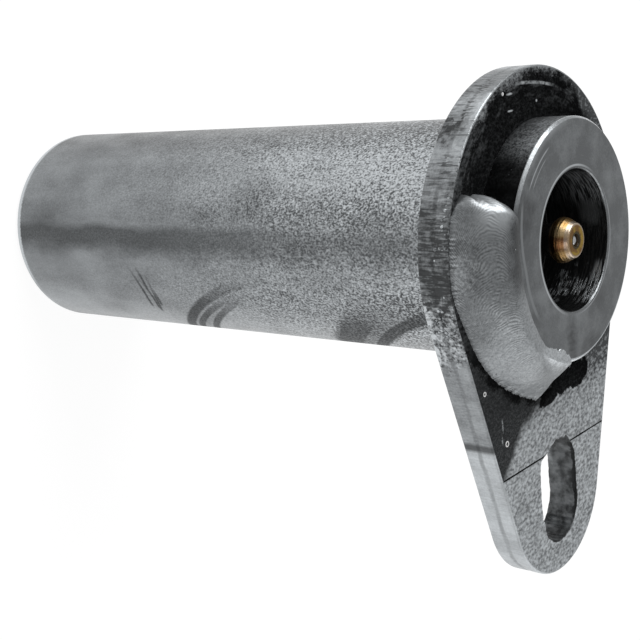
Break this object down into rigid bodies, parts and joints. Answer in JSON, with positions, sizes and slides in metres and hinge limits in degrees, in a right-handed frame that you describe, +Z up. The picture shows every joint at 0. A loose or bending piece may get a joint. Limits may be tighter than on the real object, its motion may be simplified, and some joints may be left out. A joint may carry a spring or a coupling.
{
  "type": "loader pin with keeper plate and grease nipple",
  "caption": "Round steel pivot pin with a welded slotted keeper plate round its head and a grease nipple in a counterbored end.",
  "frame": {"origin": "centre of the shank's flat end face, which the pin stands on", "axes": "+Z up the pin's axis from the shank's end to the head with the nipple; -Y towards the keeper plate's slotted tail"},
  "size_m": [0.049, 0.076, 0.1061],
  "materials": {
    "shank_steel": "ground, oiled",
    "plate_steel": "mill scale with flame-cut edges",
    "weld_metal": "as welded, satin",
    "nipple_zinc": "yellow passivated zinc on steel",
    "ball_steel": "polished",
    "spring_steel": "drawn wire"
  },
  "bodies": {
    "pin": {"pin_shaft": "shank_steel", "keeper_plate": "plate_steel", "weld_bead": "weld_metal", "nipple_body": "nipple_zinc", "nipple_spring": "spring_steel"},
    "check_ball": {"nipple_ball": "ball_steel"}
  },
  "joints": [
    {"name": "ball_lift", "type": "slide", "parent": "pin", "child": "check_ball", "axis": [0, 0, -1], "range_m": [0, 0.0008], "stiffness_N_per_m": 300, "springref_m": -0.002, "deforming": ["nipple_spring"]}
  ]
}
